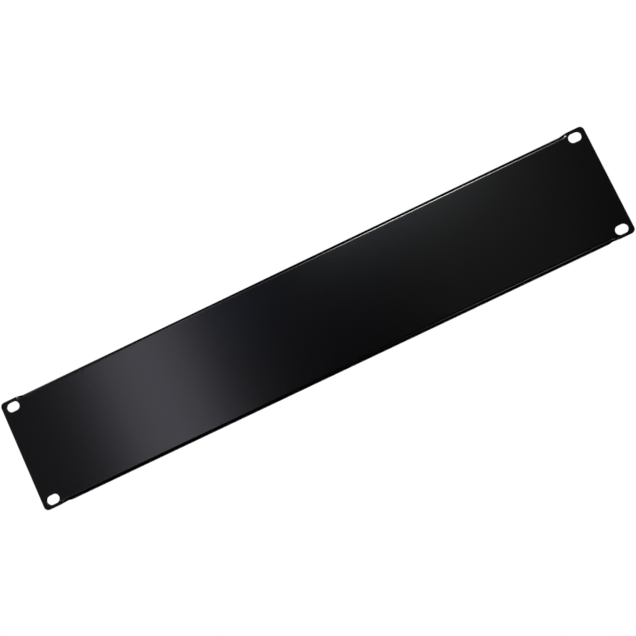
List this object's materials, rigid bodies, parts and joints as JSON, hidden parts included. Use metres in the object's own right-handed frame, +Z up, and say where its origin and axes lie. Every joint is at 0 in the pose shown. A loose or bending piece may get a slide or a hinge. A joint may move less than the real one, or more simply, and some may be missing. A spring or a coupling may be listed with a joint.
{
  "type": "rack blanking panel",
  "caption": "Black sheet steel panel that closes an empty space in a 19 inch rack: a flat face with its top and bottom edges folded back and an obround screw slot in each corner.",
  "frame": {"origin": "centre of the four screw slots, on the rear face of the ears, where the panel meets the rack", "axes": "+X along the width, to the right seen from the front; +Y into the rack, so the front looks towards -Y; +Z up"},
  "size_m": [0.4826, 0.012, 0.0882],
  "materials": {
    "powder_coat": "black satin powder coat on steel, smooth with a faint orange peel"
  },
  "bodies": {
    "root": {"blanking_panel": "powder_coat"}
  },
  "joints": []
}
